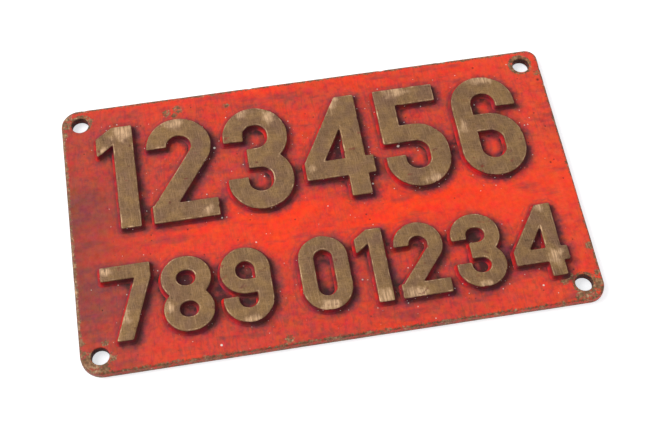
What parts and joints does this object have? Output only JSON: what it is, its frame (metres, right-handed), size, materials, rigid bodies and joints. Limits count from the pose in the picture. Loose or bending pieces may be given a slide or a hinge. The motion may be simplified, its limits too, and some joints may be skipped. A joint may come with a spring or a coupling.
{
  "type": "cast warning sign plate",
  "caption": "Flat rectangular cast plate with rounded corners, raised block numerals in two rows and a screw hole in each corner.",
  "frame": {"origin": "centre of the back face of the plate", "axes": "+X along the rows as they are read, +Y up the sign, +Z out of the front face"},
  "size_m": [0.162, 0.095, 0.005],
  "materials": {
    "red_enamel": "worn vermilion enamel over brass, grimy round the raised figures",
    "aged_brass": "brown patinated cast brass, rubbed bright at the ends"
  },
  "bodies": {
    "root": {"plate": "red_enamel", "large_numeral_1": "aged_brass", "large_numeral_2": "aged_brass", "large_numeral_3": "aged_brass", "large_numeral_4": "aged_brass", "large_numeral_5": "aged_brass", "large_numeral_6": "aged_brass", "small_numeral_7": "aged_brass", "small_numeral_8": "aged_brass", "small_numeral_9": "aged_brass", "small_numeral_0": "aged_brass", "small_numeral_1": "aged_brass", "small_numeral_2": "aged_brass", "small_numeral_3": "aged_brass", "small_numeral_4": "aged_brass"}
  },
  "joints": []
}
